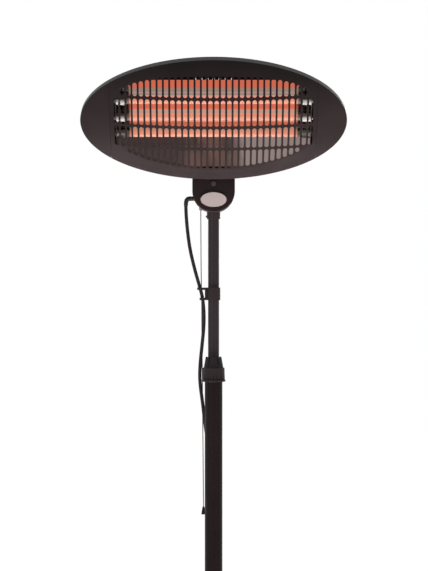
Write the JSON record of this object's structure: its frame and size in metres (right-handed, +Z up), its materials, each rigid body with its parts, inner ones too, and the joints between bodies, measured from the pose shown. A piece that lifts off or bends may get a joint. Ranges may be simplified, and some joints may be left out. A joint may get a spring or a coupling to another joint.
{
  "type": "infrared patio heater",
  "caption": "Free-standing infrared patio heater with an oval tilting head, punched front, quartz tubes, pull-cord switch box and telescoping mast on a weighted round base.",
  "frame": {"origin": "on the floor under the mast's axis, at the middle of the round base", "axes": "+Z up along the mast, -Y the way the heater radiates, +X to the right for someone who faces the heater"},
  "size_m": [0.51, 0.6078, 1.8711],
  "materials": {
    "black_paint": "satin black powder coat",
    "black_plastic": "satin moulded plastic",
    "black_rubber": "matt rubber",
    "cast_iron": "as cast",
    "zinc_steel": "zinc plated",
    "silver_plate": "brushed, bare",
    "mirror_aluminium": "polished",
    "clear_quartz": "clear",
    "heating_wire": "oxidised wire",
    "white_ceramic": "matt",
    "cord_fibre": "braided",
    "brass_pins": "bare"
  },
  "bodies": {
    "base": {"rubber_feet": "black_rubber", "base_pan": "black_paint", "base_weight": "cast_iron", "mast_foot": "black_paint", "foot_bolts": "zinc_steel", "base_cover": "black_paint", "foot_mast_tube": "black_paint", "lower_mast_tube": "black_paint", "mast_coupler": "zinc_steel", "coupler_screws": "zinc_steel", "collar_socket": "black_plastic", "lock_collet": "black_plastic", "lower_cable_clips": "black_plastic", "power_cable_crossing": "black_rubber", "power_cable_lower": "black_rubber", "power_cable_coil": "black_rubber", "power_cable_tail": "black_rubber", "power_plug": "black_rubber", "plug_pins": "brass_pins"},
    "lock_ring": {"lock_ring": "black_plastic"},
    "mast_top": {"upper_mast_tube": "black_paint", "guide_bush": "black_plastic", "neck_sleeve": "black_paint", "neck_screw": "zinc_steel", "box_rear_shell": "black_plastic", "box_front_cover": "black_plastic", "cover_screw": "zinc_steel", "badge_plate": "silver_plate", "cable_gland": "black_plastic", "cord_eyelet": "white_ceramic", "pull_switch": "black_plastic", "terminal_block": "black_plastic", "tip_switch": "black_plastic", "tilt_block": "black_paint", "tilt_block_screws": "zinc_steel", "pivot_bolt": "zinc_steel", "mast_cable_clip": "black_plastic", "power_cable_upper": "black_rubber"},
    "switch_lever": {"switch_lever": "black_plastic"},
    "pull": {"pull_string": "cord_fibre", "pull_knob": "black_plastic"},
    "tilt_knob": {"tilt_knob": "black_plastic"},
    "head": {"head_bracket": "black_paint", "bracket_screws": "zinc_steel", "front_panel": "black_paint", "left_end_cap": "black_paint", "right_end_cap": "black_paint", "rear_shell": "black_paint", "shell_screws": "zinc_steel", "reflector": "mirror_aluminium", "ceramic_caps": "white_ceramic", "left_tube_bracket": "zinc_steel", "right_tube_bracket": "zinc_steel", "quartz_tube_upper": "clear_quartz", "quartz_tube_middle": "clear_quartz", "quartz_tube_lower": "clear_quartz", "heating_coil_upper": "heating_wire", "heating_coil_middle": "heating_wire", "heating_coil_lower": "heating_wire"}
  },
  "joints": [
    {"name": "mast_height", "type": "slide", "parent": "base", "child": "mast_top", "axis": [0, 0, 1], "range_m": [-0.105, 0.21], "deforming": ["power_cable_crossing"]},
    {"name": "lock_ring_turn", "type": "hinge", "parent": "base", "child": "lock_ring", "pos_m": [0, 0, 1.266], "axis": [0, 0, 1], "range_deg": [0, 90]},
    {"name": "head_tilt", "type": "hinge", "parent": "mast_top", "child": "head", "pos_m": [0, 0, 1.7], "axis": [1, 0, 0], "range_deg": [-28, 8]},
    {"name": "tilt_knob_turn", "type": "hinge", "parent": "mast_top", "child": "tilt_knob", "pos_m": [0.03, 0, 1.7], "axis": [1, 0, 0], "range_deg": [0, 180]},
    {"name": "pull_cord_travel", "type": "slide", "parent": "mast_top", "child": "pull", "axis": [0.009, 0.0098, -0.9999], "range_m": [0, 0.012], "stiffness_N_per_m": 1000, "springref_m": -0.003},
    {"name": "switch_lever_swing", "type": "hinge", "parent": "mast_top", "child": "switch_lever", "pos_m": [-0.008, 0.015, 1.618], "axis": [0, -1, 0], "range_deg": [0, 40]}
  ],
  "couplings": [
    {"joint": "switch_lever_swing", "follows": "pull_cord_travel", "rad_per_m": 56.5}
  ]
}
